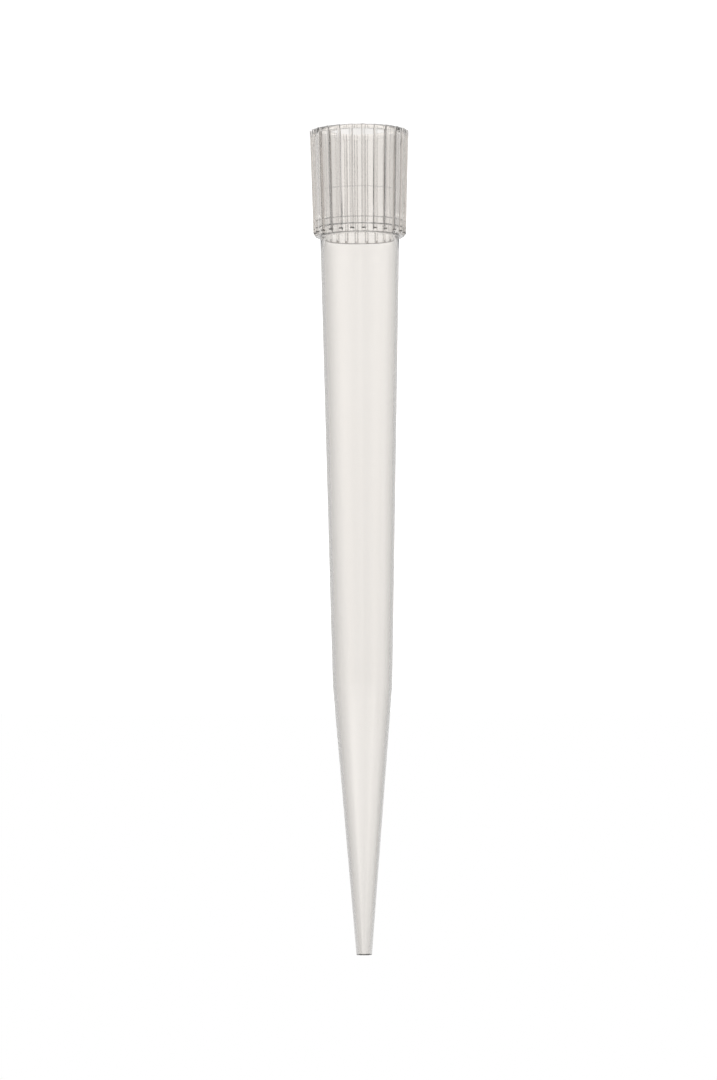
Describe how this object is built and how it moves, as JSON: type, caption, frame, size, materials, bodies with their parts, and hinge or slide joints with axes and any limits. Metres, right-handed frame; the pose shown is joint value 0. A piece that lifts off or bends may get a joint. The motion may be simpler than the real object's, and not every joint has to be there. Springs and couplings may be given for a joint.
{
  "type": "pipette tip",
  "caption": "Long clear plastic pipette tip: a ribbed collar with a socket for the pipette's cone, a tapered body and a fine open point.",
  "frame": {"origin": "centre of the collar's rim plane, on which the tip stands mouth down", "axes": "+Z along the tip's axis from the mouth to the open point, +X through the middle of a rib, Z = 0 is the surface it stands on"},
  "size_m": [0.0144, 0.0144, 0.12],
  "materials": {
    "clear_plastic": "clear, slightly milky moulded polypropylene, smooth, uncoloured"
  },
  "bodies": {
    "root": {"tip": "clear_plastic"}
  },
  "joints": []
}
